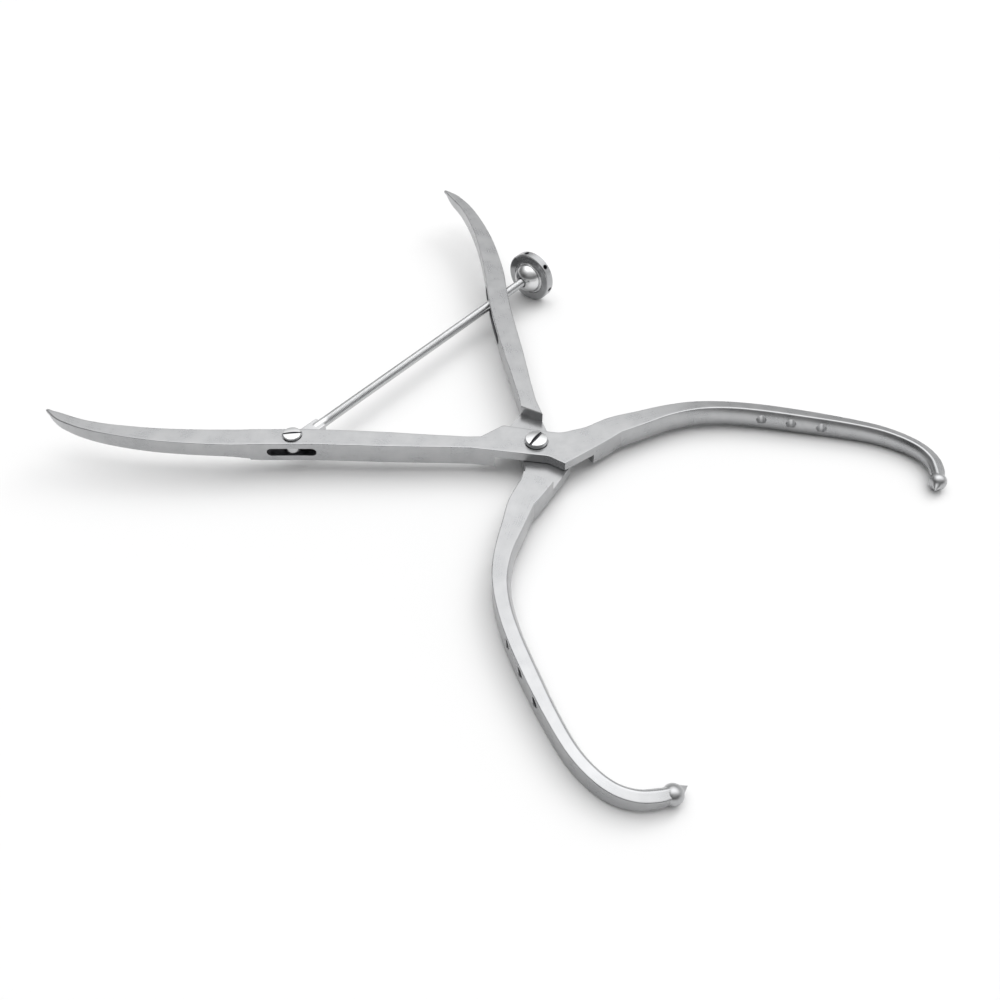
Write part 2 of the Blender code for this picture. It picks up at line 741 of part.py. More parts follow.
def end_stop(axis, place):
    """Ring on the spindle's riveted stud."""
    bore = STUD_RADIUS + PIVOT_FIT
    profile = [
        (bore, STOP_LENGTH),
        (STOP_RADIUS - STOP_CHAMFER, STOP_LENGTH),
        (STOP_RADIUS, STOP_LENGTH - STOP_CHAMFER),
        (STOP_RADIUS, 0.0),
        (bore, 0.0),
    ]
    made = turned("end_stop", profile, pieces, satin, steps=32)
    made.rotation_euler.y = math.pi / 2
    made.location.x = place
    made.parent = axis
    return made


def spindle_group():
    """The spindle with its knob, seat and end stop, on an empty whose X runs from the eye through handle B."""
    eye = world_pivot()
    run = world_crossing() - eye
    axis = empty_at("spindle_axis", eye, (0, 0, math.atan2(run.y, run.x)))
    knob_place = run.length + SEAT_STANDOFF
    rod_length = knob_place + KNOB_WIDTH + STOP_GAP
    smooth(spindle(axis, rod_length), 30)
    ball_seat(axis, knob_place)
    knob(axis, knob_place)
    end_stop(axis, rod_length + CLEARANCE)


clear_scene()
pieces = new_collection("bone_reduction_forceps")
helpers = new_collection("cutters")
satin = steel("satin_steel", (0.62, 0.63, 0.64), 0.32)
polished = steel("polished_steel", (0.78, 0.79, 0.80), 0.12)

for made in (arm_a(), arm_b()):
    smooth(made, 30)
pivot_screw()
spindle_screw()
spindle_group()
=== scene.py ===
import json
import math

import bmesh
import bpy
from mathutils import Matrix, Vector, kdtree
from mathutils.geometry import intersect_line_line_2d


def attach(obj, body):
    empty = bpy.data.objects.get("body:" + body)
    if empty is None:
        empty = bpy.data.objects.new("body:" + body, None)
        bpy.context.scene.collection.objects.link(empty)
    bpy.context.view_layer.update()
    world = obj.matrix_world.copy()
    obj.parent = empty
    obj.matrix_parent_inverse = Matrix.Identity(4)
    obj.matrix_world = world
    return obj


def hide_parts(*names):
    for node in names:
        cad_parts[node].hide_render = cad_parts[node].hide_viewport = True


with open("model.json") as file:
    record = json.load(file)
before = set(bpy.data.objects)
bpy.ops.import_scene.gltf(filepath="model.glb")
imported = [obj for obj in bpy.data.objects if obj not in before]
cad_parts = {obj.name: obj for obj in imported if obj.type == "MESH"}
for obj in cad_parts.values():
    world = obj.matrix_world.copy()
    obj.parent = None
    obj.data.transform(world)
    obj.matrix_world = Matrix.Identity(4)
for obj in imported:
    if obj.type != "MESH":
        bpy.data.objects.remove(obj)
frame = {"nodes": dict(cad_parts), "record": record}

mm = 0.001
world = bpy.context.scene.collection
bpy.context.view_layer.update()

# places that the frame gives
joints = {joint["name"]: joint for joint in frame["record"]["behaviour"]["joints"]}
halfOpening = math.radians(joints["jaw_hinge"]["range_deg"][1]) / 2
eyePlace = Vector(joints["spindle_swing"]["pos_m"])
knobPlace = Vector(joints["nut_slide"]["pos_m"])
rodHeading = (knobPlace - eyePlace).xy.angle_signed(Vector((1.0, 0.0)))
rodFrame = Matrix.Translation(eyePlace) @ Matrix.Rotation(rodHeading, 4, "Z")


# Shader maths

class Wire:
    def __init__(self, finish, socket):
        self.finish = finish
        self.socket = socket

    def maths(self, operation, *values):
        return self.finish.node("ShaderNodeMath", {"operation": operation}, dict(enumerate(values)))

    def __add__(self, other):
        return self.maths("ADD", self, other)

    def __sub__(self, other):
        return self.maths("SUBTRACT", self, other)

    def __rsub__(self, other):
        return self.maths("SUBTRACT", other, self)

    def __mul__(self, other):
        return self.maths("MULTIPLY", self, other)

    def __pow__(self, other):
        return self.maths("POWER", self, other)

    __radd__ = __add__
    __rmul__ = __mul__


class Finish:
    def __init__(self, owner):
        owner.use_nodes = True
        self.owner = owner
        self.nodes = owner.node_tree.nodes
        self.links = owner.node_tree.links

    def node(self, kind, settings=None, inputs=None, output=0):
        made = self.nodes.new(kind)
        for name, value in (settings or {}).items():
            setattr(made, name, value)
        for name, value in (inputs or {}).items():
            self.feed(made.inputs[name], value)
        return Wire(self, made.outputs[output])

    def feed(self, socket, value):
        if isinstance(value, Wire):
            self.links.new(value.socket, socket)
        else:
            socket.default_value = value

    def split(self, vector):
        made = self.node("ShaderNodeSeparateXYZ", None, {0: vector})
        return [Wire(self, socket) for socket in made.socket.node.outputs]

    def noise(self, where, scale, detail=3.0, roughness=0.55):
        values = {"Vector": where, "Scale": scale, "Detail": detail, "Roughness": roughness}
        return self.node("ShaderNodeTexNoise", None, values)

    def spread(self, value, low, high, toLow, toHigh):
        values = {"Value": value, "From Min": low, "From Max": high, "To Min": toLow, "To Max": toHigh}
        return self.node("ShaderNodeMapRange", None, values)

    def mixColour(self, share, one, two):
        # a Mix node's colour sockets are 6 and 7, and its colour output is 2
        values = {0: share, 6: (*one, 1.0), 7: (*two, 1.0)}
        return self.node("ShaderNodeMix", {"data_type": "RGBA"}, values, 2)


# Steel finishes: lengths of the grain are per metre, depths in metres

satin = {
    "colour": (0.490, 0.493, 0.498),
    "deepColour": (0.385, 0.390, 0.398),
    "roughness": 0.29,
    "roughnessSpread": 0.14,
    "grainLength": 70.0,
    "grainWidth": 2400.0,
    "grainDepth": 0.000010,
    "patchSize": 110.0,
    "pitSize": 1900.0,
    "pitDepth": 0.000006,
}
polished = {
    "colour": (0.74, 0.745, 0.75),
    "deepColour": (0.66, 0.665, 0.67),
    "roughness": 0.09,
    "roughnessSpread": 0.08,
    "grainLength": 200.0,
    "grainWidth": 3000.0,
    "grainDepth": 0.000002,
    "patchSize": 80.0,
    "pitSize": 1500.0,
    "pitDepth": 0.000001,
}
turnedSatin = dict(satin, roughness=0.26, grainDepth=0.000008)
threaded = dict(
    satin,
    colour=(0.60, 0.604, 0.61),
    deepColour=(0.50, 0.505, 0.512),
    roughness=0.20,
    grainDepth=0.000003,
)
domed = dict(polished, roughness=0.20)
# painted shade: a dark steel colour that stands in for the shade inside bores, slots and holes
boreShadePaint = dict(satin, colour=(0.16, 0.16, 0.168), deepColour=(0.09, 0.09, 0.096), roughness=0.45)
# how the noises become tone and roughness
toning = {
    "wearRange": (0.35, 0.68),
    "wearShare": 0.6,
    "grainShare": 0.4,
    "grainRoughness": 0.06,
}
# the outputs that give a place: Vector of an Attribute node, Object of a Texture Coordinate node
attributeVector = 1
objectPlace = 3


def armGrain(finish, look):
    # the stored places run straight along the arm, so the grain follows its curve
    place = finish.node("ShaderNodeAttribute", {"attribute_name": "alongArm"}, None, attributeVector)
    return place, stretched(finish, place, look)


def rodGrain(finish, look):
    # streaks along the local X axis
    place = finish.node("ShaderNodeTexCoord", None, None, objectPlace)
    return place, stretched(finish, place, look)


def turnedGrain(finish, look):
    # rings about the local Z axis, as a lathe leaves them
    place = finish.node("ShaderNodeTexCoord", None, None, objectPlace)
    x, y, z = finish.split(place)
    radius = (x * x + y * y) ** 0.5
    values = {0: radius * look["grainWidth"], 1: z * look["grainWidth"], 2: 0.0}
    return place, finish.node("ShaderNodeCombineXYZ", None, values)


def stretched(finish, place, look):
    scale = (look["grainLength"], look["grainWidth"], look["grainWidth"])
    return finish.node("ShaderNodeMapping", None, {"Vector": place, "Scale": scale})


def steelFinish(name, look, grainOf):
    finish = Finish(bpy.data.materials.new(name))
    shader = finish.nodes["Principled BSDF"]
    shader.inputs["Metallic"].default_value = 1.0
    place, along = grainOf(finish, look)
    grain = finish.noise(along, 1.0, 2.0, 0.6)
    patches = finish.noise(place, look["patchSize"], 4.0)
    pits = finish.noise(place, look["pitSize"], 2.0, 0.5)
    wear = finish.spread(patches, *toning["wearRange"], 0.0, 1.0)
    tone = wear * toning["wearShare"] + grain * toning["grainShare"]
    finish.feed(shader.inputs["Base Color"], finish.mixColour(tone, look["deepColour"], look["colour"]))
    streaks = (grain - 0.5) * toning["grainRoughness"]
    rough = look["roughness"] + (patches - 0.5) * look["roughnessSpread"] + streaks
    finish.feed(shader.inputs["Roughness"], rough)
    height = grain * look["grainDepth"] + pits * look["pitDepth"]
    bump = finish.node("ShaderNodeBump", None, {"Strength": 1.0, "Distance": 1.0, "Height": height})
    finish.feed(shader.inputs["Normal"], bump)
    return finish.owner


# the material of painted shade for the insides of bores and slots
paintedShadeSteel = steelFinish("boreShadePaint", boreShadePaint, rodGrain)


# Camera, measured from the photograph on the joint's top plane

view = {
    "focal": 37.33,
    "elevation": 45.71,
    "roll": -0.17,
    "heading": 41.78,
    "place": (0.2150, -0.2650, 0.3223),
}


def addCamera():
    data = bpy.data.cameras.new("camera")
    data.lens = view["focal"]
    data.sensor_width = 36.0
    data.clip_start = 0.01
    made = bpy.data.objects.new("camera", data)
    world.objects.link(made)
    made.matrix_world = (
        Matrix.Translation(view["place"])
        @ Matrix.Rotation(math.radians(view["heading"]), 4, "Z")
        @ Matrix.Rotation(math.radians(90 - view["elevation"]), 4, "X")
        @ Matrix.Rotation(math.radians(view["roll"]), 4, "Z")
    )
    bpy.context.scene.camera = made


# Studio: a key lamp behind the instrument, and a sky that is pale at the horizon and brightest overhead,
# dimmer on the viewer's side and on the left, with a faint glow on the right

studio = {
    "floorColour": (0.86, 0.86, 0.86),
    "floorRoughness": 0.9,
    "floorGloss": 0.1,
    "floorSize": 16.0,
    "restsAround": (0.06, 0.0),
    "lampPower": 34.0,
    "lampSize": 1.8,
    "lampDistance": 4.0,
    "lampElevation": 38.0,
    "lampTurn": 38.0,
    "horizon": 0.86,
    "horizonTop": (0.10, 0.24),
    "arch": (0.444, 0.944),
    "archLight": (0.55, 2.40),
    "frontDepth": (-0.50, 0.10),
    "frontLight": 0.30,
    "leftSide": (-0.75, -0.35),
    "leftLight": 0.35,
    "rightSide": (0.45, 0.85),
    "rightGlow": 0.25,
}
facingDown = -0.5        # a face of the hull looks down where its normal's height is under this


def restingPlane():
    # the floor touches the knob's rim and both balls, so that the knob stays clear of it when the jaws close:
    # it is the hull's lower face that lies under restsAround
    work = bmesh.new()
    for node in frame["nodes"].values():
        for vertex in node.data.vertices:
            work.verts.new(vertex.co)
    bmesh.ops.convex_hull(work, input=work.verts, use_existing_faces=False)
    middle = Vector(studio["restsAround"])
    best = None
    for face in work.faces:
        if face.normal.z > facingDown:
            continue
        corners = [vertex.co.xy for vertex in face.verts]
        turns = [
            (corners[i - 1] - corners[i - 2]).cross(middle - corners[i - 2]) for i in range(len(corners))
        ]
        if min(turns) >= 0 or max(turns) <= 0:
            best = (-face.normal.copy(), face.verts[0].co.copy())
    work.free()
    return best


def addFloor():
    normal, point = restingPlane()
    mesh = bpy.data.meshes.new("floor")
    work = bmesh.new()
    bmesh.ops.create_grid(work, x_segments=8, y_segments=8, size=studio["floorSize"] / 2)
    work.to_mesh(mesh)
    work.free()
    floor = bpy.data.objects.new("floor", mesh)
    world.objects.link(floor)
    floor.matrix_world = Matrix.Translation(point) @ normal.to_track_quat("Z", "Y").to_matrix().to_4x4()
    finish = Finish(bpy.data.materials.new("paleFloor"))
    shader = finish.nodes["Principled BSDF"]
    shader.inputs["Base Color"].default_value = (*studio["floorColour"], 1)
    shader.inputs["Roughness"].default_value = studio["floorRoughness"]
    shader.inputs["Specular IOR Level"].default_value = studio["floorGloss"]
    mesh.materials.append(finish.owner)


def addSky():
    sky = bpy.data.worlds.new("studio")
    bpy.context.scene.world = sky
    finish = Finish(sky)
    ground = finish.nodes["Background"]
    ground.inputs["Color"].default_value = (1.0, 1.0, 1.0, 1.0)
    way = finish.node("ShaderNodeTexCoord", None, None, 0)
    turned = finish.node("ShaderNodeVectorRotate", {"rotation_type": "Z_AXIS"},
                         {"Vector": way, "Angle": -math.radians(view["heading"])})
    right, depth, height = finish.split(turned)
    arch = finish.spread(height, *studio["arch"], *studio["archLight"])
    left = finish.spread(right, *studio["leftSide"], studio["leftLight"], 1.0)
    glow = finish.spread(right, *studio["rightSide"], 0.0, studio["rightGlow"])
    front = finish.spread(depth, *studio["frontDepth"], studio["frontLight"], 1.0)
    above = finish.spread(height, *studio["horizonTop"], 0.0, 1.0)
    light = (arch * left + glow) * front * above + (1 - above) * studio["horizon"]
    finish.feed(ground.inputs["Strength"], light)


def addLamp():
    data = bpy.data.lights.new("key", "AREA")
    data.energy = studio["lampPower"]
    data.size = studio["lampSize"]
    made = bpy.data.objects.new("key", data)
    world.objects.link(made)
    heading = math.radians(view["heading"] - studio["lampTurn"])
    elevation = math.radians(studio["lampElevation"])
    flat = math.cos(elevation)
    way = Vector((-math.sin(heading) * flat, math.cos(heading) * flat, math.sin(elevation)))
    made.location = way * studio["lampDistance"]
    made.rotation_euler = (-way).to_track_quat("-Z", "Y").to_euler()
    made.visible_glossy = False


# Outlines and solids, drawn in millimetres

facetTurn = 7.5       # degrees from one point of a rounded corner to the next
weldGap = 0.0005      # points nearer to each other than this become one
mouthOut = 3.0        # a drill's mouth stands this far out of the metal
drillSides = 64
sharpTurn = 30.0      # degrees: an edge that turns further stays sharp


def filletPoints(before, corner, after, radius):
    if not radius:
        return [corner]
    back, ahead = (before - corner).normalized(), (after - corner).normalized()
    half = back.angle(ahead) / 2
    centre = corner + (back + ahead).normalized() * (radius / math.sin(half))
    start = corner + back * (radius / math.tan(half)) - centre
    end = corner + ahead * (radius / math.tan(half)) - centre
    turn = start.angle_signed(end)
    count = max(3, round(abs(turn) / math.radians(facetTurn)))
    return [centre + Matrix.Rotation(-turn * i / count, 2) @ start for i in range(count + 1)]


def roundedOutline(corners):
    # a closed outline from (x, y, corner radius)
    points = [Vector(corner[:2]) for corner in corners]
    outline = []
    for i, (_, _, radius) in enumerate(corners):
        outline += filletPoints(points[i - 1], points[i], points[(i + 1) % len(points)], radius)
    return outline


def addPiece(name, work):
    bmesh.ops.remove_doubles(work, verts=work.verts, dist=weldGap)
    bmesh.ops.recalc_face_normals(work, faces=work.faces)
    bmesh.ops.scale(work, verts=work.verts, vec=(mm, mm, mm))
    mesh = bpy.data.meshes.new(name)
    work.to_mesh(mesh)
    work.free()
    made = bpy.data.objects.new(name, mesh)
    world.objects.link(made)
    return made


def ringSolid(name, rings):
    # a closed solid through rings of points, with flat ends
    work = bmesh.new()
    made = [[work.verts.new(point) for point in ring] for ring in rings]
    for one, two in zip(made, made[1:]):
        for i in range(len(one)):
            work.faces.new((one[i - 1], one[i], two[i], two[i - 1]))
    work.faces.new(made[0])
    work.faces.new(made[-1])
    return addPiece(name, work)


def levelSolid(name, outlineOf, levels):
    # rings of one outline, which grows by the second number of each (height, growth)
    return ringSolid(name, [[(*point, z) for point in outlineOf(growth)] for z, growth in levels])


def turnedSolid(name, profile, steps=96):
    # a profile of (radius, height) points turned about Z
    work = bmesh.new()
    points = [work.verts.new((radius, 0.0, height)) for radius, height in profile]
    edges = [work.edges.new(pair) for pair in zip(points, points[1:])]
    if profile[0][0] > 0:
        edges.append(work.edges.new((points[-1], points[0])))
    bmesh.ops.spin(work, geom=points + edges, axis=(0, 0, 1), cent=(0, 0, 0), angle=2 * math.pi, steps=steps)
    return addPiece(name, work)


def turnedOutline(name, corners, steps=96):
    # a ring whose section is given as (radius, height, corner radius)
    return turnedSolid(name, [tuple(point) for point in roundedOutline(corners)], steps)


def arcPoints(centre, radius, first, last, count):
    angles = (math.radians(first + (last - first) * i / count) for i in range(count + 1))
    return [(centre[0] + radius * math.cos(a), centre[1] + radius * math.sin(a)) for a in angles]


def drill(name, radius, depth, flare):
    # a blind hole from z = 0 down, with a countersunk mouth
    out = mouthOut
    profile = [(0.0, out), (radius + flare + out, out), (radius, -flare), (radius, -depth), (0.0, -depth)]
    return turnedSolid(name, profile, drillSides)


def crossDrill(name, radius, half, flare):
    # a through hole whose two mouths lie half the wall's width from its middle
    out = half + mouthOut
    wide = radius + flare + out - half
    upper = [(0.0, out), (wide, out), (radius, half - flare)]
    lower = [(radius, flare - half), (wide, -out), (0.0, -out)]
    return turnedSolid(name, upper + lower, drillSides)


def coat(piece, finish):
    # the second material is painted shade for what is bored or cut into the piece: a dark colour that stands
    # in for the shade inside it
    piece.data.materials.append(finish)
    piece.data.materials.append(paintedShadeSteel)


# every face of the cutter gets the painted shade, so what it cuts is painted dark as if in shade
def paintShadeInto(cutter):
    coat(cutter, paintedShadeSteel)
    for face in cutter.data.polygons:
        face.material_index = 1
    return cutter


def combine(piece, others, operation="DIFFERENCE"):
    for other in others:
        modifier = piece.modifiers.new(other.name, "BOOLEAN")
        modifier.operation = operation
        modifier.object = other


def settle(piece, helpers):
    # the piece keeps its finished mesh, and the helpers go
    graph = bpy.context.evaluated_depsgraph_get()
    mesh = bpy.data.meshes.new_from_object(piece.evaluated_get(graph))
    piece.modifiers.clear()
    piece.data = mesh
    for helper in helpers:
        bpy.data.objects.remove(helper)


def finishPiece(piece, node, body):
    piece.data.shade_smooth()
    piece.data.set_sharp_from_angle(angle=math.radians(sharpTurn))
    weighted = piece.modifiers.new("flats", "WEIGHTED_NORMAL")
    weighted.keep_sharp = True
    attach(piece, body)
    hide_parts(node)


# Arms, drawn closed: the handle lies at -Y and the jaw at +Y

armSizes = {
    "handleLength": 224.0,
    "handleBow": 21.9,
    "jawLength": 174.6,
    "jawBow": 39.0,
    "height": 10.0,
    "width": 10.2,
    "edge": 0.40,
    "edgeOfHeight": 0.45,
    "edgeOfWidth": 0.55,
    "rim": 0.4,
    "rimShare": 0.3,
    "jointEdge": 0.30,
    "jointBlend": 1.2,
    "softLength": 40.0,
    "softGain": 1.2,
    "crown": 0.55,
    "tipCrown": 0.35,
    "topSteps": 5,
    "barLength": 127.8,
    "stepLength": 0.4,
    "endLength": 2.6,
    "endHeight": 0.3,
    "endRings": 8,
    "bulge": 1.8,
    "spacing": 1.5,
    "jointSpacing": 0.5,
    "cornerSteps": 4,
    "sideSteps": 7,
}
# each row: how far along, how far off the middle line, width and height, as shares of the sizes above
gripRows = (
    (1.000, 0.65, 0.18, 0.20),
    (0.976, 0.70, 0.33, 0.34),
    (0.948, 0.75, 0.43, 0.46),
    (0.916, 0.80, 0.49, 0.55),
    (0.811, 0.92, 0.56, 0.65),
    (0.665, 0.99, 0.65, 0.73),
    (0.455, 1.00, 0.81, 0.74),
    (0.266, 0.94, 0.92, 0.74),
    (0.088, 0.845, 1.00, 0.75),
    (0.000, 0.78, 1.01, 0.87),
)
barRows = (
    (1.000, 0.77, 1.01, 0.96),
    (0.939, 0.71, 1.00, 1.00),
    (0.798, 0.575, 1.00, 1.00),
    (0.649, 0.475, 0.97, 1.00),
    (0.509, 0.39, 0.93, 1.00),
    (0.391, 0.32, 0.83, 1.00),
    (0.305, 0.265, 0.77, 1.00),
    (0.235, 0.224, 0.73, 1.00),
)
# the jaw's rows end with how far its inner side is rounded
jawRows = (
    (0.000, 0.00, 0.90, 1.00, 0.0),
    (0.103, 0.14, 0.95, 1.00, 0.0),
    (0.192, 0.43, 1.10, 1.00, 0.1),
    (0.257, 0.605, 1.00, 1.01, 0.4),
    (0.318, 0.77, 0.86, 1.04, 0.6),
    (0.374, 0.885, 0.79, 1.06, 0.8),
    (0.423, 0.95, 0.74, 1.06, 0.9),
    (0.489, 0.992, 0.71, 1.06, 1.0),
    (0.570, 1.00, 0.71, 1.05, 1.0),
    (0.677, 0.97, 0.69, 1.03, 1.0),
    (0.782, 0.923, 0.62, 0.99, 1.0),
    (0.867, 0.856, 0.58, 0.92, 1.0),
    (0.926, 0.754, 0.57, 0.86, 1.0),
    (0.967, 0.626, 0.57, 0.77, 1.0),
    (0.992, 0.462, 0.58, 0.65, 1.0),
    (1.000, 0.297, 0.58, 0.57, 1.0),
)
# the neck, which ends inside the ball: its width and height as shares, its rounding, and how far it dips
neckShape = (0.52, 0.53, 1.0)
neckDrop = 0.5
neckLength = 8.0
ball = {
    "radius": 3.85,
    "height": 5.9,
    "away": 6.35,
    "reach": 6.3,
    "pointRadius": 1.9,
    "tipRadius": 0.1,
    "tipRound": 0.02,
    "fillet": 0.5,
    "filletSteps": 6,
    "lean": 16.0,
    "steps": 96,
}
jawHole = {"radius": 2.15, "first": 100.0, "pitch": 13.6, "height": 5.9, "count": 3, "flare": 0.3}
lap = {
    "height": 5.4,
    "halfWidth": 8.3,
    "reach": 34.0,
    "flare": 3.6,
    "angle": 44.0,
    "handleShoulder": 17.8,
    "jawShoulder": 18.5,
    "shoulderGap": 0.4,
    "gap": 0.3,
    "boreRadius": 3.2,
    "edge": 0.35,
}
far = 40.0        # past every wall


def lengthsAlong(rows):
    # the way from the run's start to each of its rows
    at = [0.0]
    for one, two in zip(rows, rows[1:]):
        at.append(at[-1] + math.hypot(two[0] - one[0], two[1] - one[1]))
    return at


def smoothRun(rows):
    # a smooth curve through the rows, with rows close together on it
    at = lengthsAlong(rows)
    slopes = []
    for i in range(len(rows)):
        low, high = max(i - 1, 0), min(i + 1, len(rows) - 1)
        slopes.append([(b - a) / (at[high] - at[low]) for a, b in zip(rows[low], rows[high])])
    made = []
    for i in range(len(rows) - 1):
        length = at[i + 1] - at[i]
        nearJoint = abs(rows[i][0] + rows[i + 1][0]) < 2 * armSizes["jointBlend"] * lap["reach"]
        steps = max(1, round(length / armSizes["jointSpacing" if nearJoint else "spacing"]))
        for k in range(steps):
            t = k / steps
            weights = (
                2 * t**3 - 3 * t**2 + 1,
                (t**3 - 2 * t**2 + t) * length,
                3 * t**2 - 2 * t**3,
                (t**3 - t**2) * length,
            )
            values = zip(rows[i], slopes[i], rows[i + 1], slopes[i + 1])
            made.append(tuple(sum(w * v for w, v in zip(weights, four)) for four in values))
    made.append(tuple(rows[-1]))
    return made


def armCourse():
    # (x, y, width, height, rounding of the inner side); the grip ends at the step, where the full bar starts
    size = armSizes
    bow, width, height = size["handleBow"], size["width"], size["height"]
    gripStart = size["barLength"] + size["stepLength"]
    gripLength = size["handleLength"] - gripStart
    grip = [(-gripStart - x * gripLength, -y * bow, w * width, h * height, 0.0) for x, y, w, h in gripRows]
    bar = [(-x * size["barLength"], -y * bow, w * width, h * height, 0.0) for x, y, w, h in barRows]
    jaw = [
        (x * size["jawLength"], y * size["jawBow"], w * width, h * height, rounding)
        for x, y, w, h, rounding in jawRows
    ]
    wide, tall, rounding = neckShape
    neck = ball["away"] + ball["radius"] / 3
    jaw.append((size["jawLength"], neck, wide * width, tall * height, rounding))
    return smoothRun(grip) + smoothRun(bar + jaw)


def courseAt(course, x):
    for one, two in zip(course, course[1:]):
        if one[0] <= x <= two[0]:
            share = (x - one[0]) / (two[0] - one[0])
            middle = Vector((x, one[1] + share * (two[1] - one[1])))
            return middle, Vector((two[0] - one[0], two[1] - one[1])).normalized()
    raise ValueError(x)


def widthAt(course, x):
    return next(row[2] for row in course if row[0] >= x)


def aheadAt(course, i, side=1):
    # the way the arm runs at one of its rows, from the rows on both sides of it
    before, after = course[max(i - 1, 0)], course[min(i + 1, len(course) - 1)]
    return Vector((after[0] - before[0], side * (after[1] - before[1]))).normalized()


def onLine(distance, angle, y):
    # x where the line at this distance from the pivot, facing the angle, has this y
    return (distance - y * math.sin(angle)) / math.cos(angle)


def jointOutline(course):
    # the wide flat part round the pivot, with the two shoulders that meet the other arm; its corners are
    # shares of its half width or of the bar's width, as the photograph shows them
    wide = lap["halfWidth"]
    handleNormal, jawNormal = math.radians(180 - lap["angle"]), math.radians(-lap["angle"])
    handleLine, jawLine = lap["handleShoulder"], lap["jawShoulder"]
    bar, _ = courseAt(course, -lap["reach"])
    root, ahead = courseAt(course, lap["reach"])
    across = Vector((-ahead.y, ahead.x)) * armSizes["width"]
    outer, inner = root - across * 0.55, root + across * 0.42 - ahead * 2.0
    tip = -wide - lap["flare"]
    return roundedOutline([
        (onLine(handleLine, handleNormal, -wide / 2), -wide / 2, 0),
        (bar.x, bar.y + 0.1 * armSizes["width"], 0),
        (bar.x, bar.y - 0.3 * armSizes["width"], 0),
        (0.8 * wide, -wide, 6.0),
        (onLine(jawLine, jawNormal, tip), tip, 0.5),
        (onLine(jawLine, jawNormal, 0.3 * wide), 0.3 * wide, 0),
        (outer.x, outer.y, 0),
        (root.x, root.y, 0),
        (inner.x, inner.y, 0),
        (2.35 * wide, 1.52 * wide, 15.0),
        (1.2 * wide, 0.92 * wide, 9.0),
        (-0.5 * wide, 0.95 * wide, 30.0),
        (onLine(handleLine, handleNormal, 1.05 * wide), 1.05 * wide, 2.4),
    ])


def reachAcross(outline, middle, across, least):
    # how far the arm goes to this side: its own half width, or the joint's flat part where that is wider
    best = least
    for i in range(len(outline)):
        hit = intersect_line_line_2d(middle, middle + across * far, outline[i - 1], outline[i])
        if hit:
            best = max(best, (hit - middle).length)
    return best


def sideRun(reach, height, edge, bulge):
    # (sideways, drop) points down one side, from the flat top to the flat underside
    flat = reach - bulge
    edge = min(edge, armSizes["edgeOfHeight"] * height, armSizes["edgeOfWidth"] * flat)
    steps = armSizes["cornerSteps"]
    turns = [math.pi / 2 * k / steps for k in range(steps + 1)]
    upper = [(edge * (1 - math.cos(a)), edge * (1 - math.sin(a))) for a in turns]
    plain = height - 2 * edge
    count = armSizes["sideSteps"]
    straight = [(edge + plain * k / (count + 1), 0.0) for k in range(1, count + 1)]
    lower = [(height - drop, inset) for drop, inset in reversed(upper)]
    # one more point just inside each edge keeps the flats flat up to it
    rim = edge + min(armSizes["rim"], armSizes["rimShare"] * (flat - edge))
    run = [(0.0, rim)] + upper + straight + lower + [(height, rim)]
    return [(reach - inset - bulge * (2 * drop / height - 1) ** 2, drop) for drop, inset in run]


def armBody(name, side, course):
    # a loft through one closed section for each row of the course
    size = armSizes
    outline = jointOutline(course)
    at = lengthsAlong(course)
    rings = []
    for i, (x, y, width, height, rounding) in enumerate(course):
        ahead = aheadAt(course, i)
        across = Vector((-ahead.y, ahead.x))
        middle = Vector((x, y))
        fromEnd, fromTip = [max(0.0, 1 - length / size["softLength"]) for length in (at[i], at[-1] - at[i])]
        edge = size["edge"] * (1 + size["softGain"] * fromEnd)
        crown = rounding * (size["crown"] + size["tipCrown"] * fromTip)
        outer = inner = width / 2
        fromBlend = size["jointBlend"] - abs(x) / lap["reach"]
        if fromBlend > 0:
            # the joint's finer edge runs out into the bar's own between reach and jointBlend times that
            edge += min(1.0, fromBlend / (size["jointBlend"] - 1)) * (size["jointEdge"] - edge)
            outer = reachAcross(outline, middle, across, width / 2)
            inner = reachAcross(outline, middle, -across, width / 2)
        dip = neckDrop * max(0.0, 1 - (at[-1] - at[i]) / neckLength)
        sections = [(middle, 1.0, height, dip)]
        if i == 0:
            sections = endSections(middle, ahead, height) + sections
        for place, shrink, tall, drop in sections:
            outerRun = sideRun(outer * shrink, tall, edge, 0.0)
            innerRun = sideRun(inner * shrink, tall, edge, size["bulge"] * rounding)
            high, low = outerRun[0][0], -innerRun[0][0]
            steps = size["topSteps"] + 1
            topRun = [(high + (low - high) * k / steps, 0.0) for k in range(1, steps)]
            ring = outerRun[::-1] + topRun + [(-s, d) for s, d in innerRun]
            sunk = [crown * (s - low) / (high - low) * (1 - d / tall) if s > low else 0.0 for s, d in ring]
            points = [(place + across * s, size["height"] - drop - d - c) for (s, d), c in zip(ring, sunk)]
            rings.append([(point.x, side * point.y, z) for point, z in points])
    return ringSolid(name, rings)


def endSections(middle, ahead, height):
    # (place, share of the width, height, drop) of the sections that close the handle's round end
    made = []
    count, least = armSizes["endRings"], armSizes["endHeight"]
    for k in range(count, 0, -1):
        turn = math.pi / 2 * k / (count + 0.5)
        shrink = math.cos(turn)
        low = least + (1 - least) * shrink
        place = middle - ahead * armSizes["endLength"] * math.sin(turn)
        made.append((place, shrink, height * low, height * (1 - low) / 2))
    return made


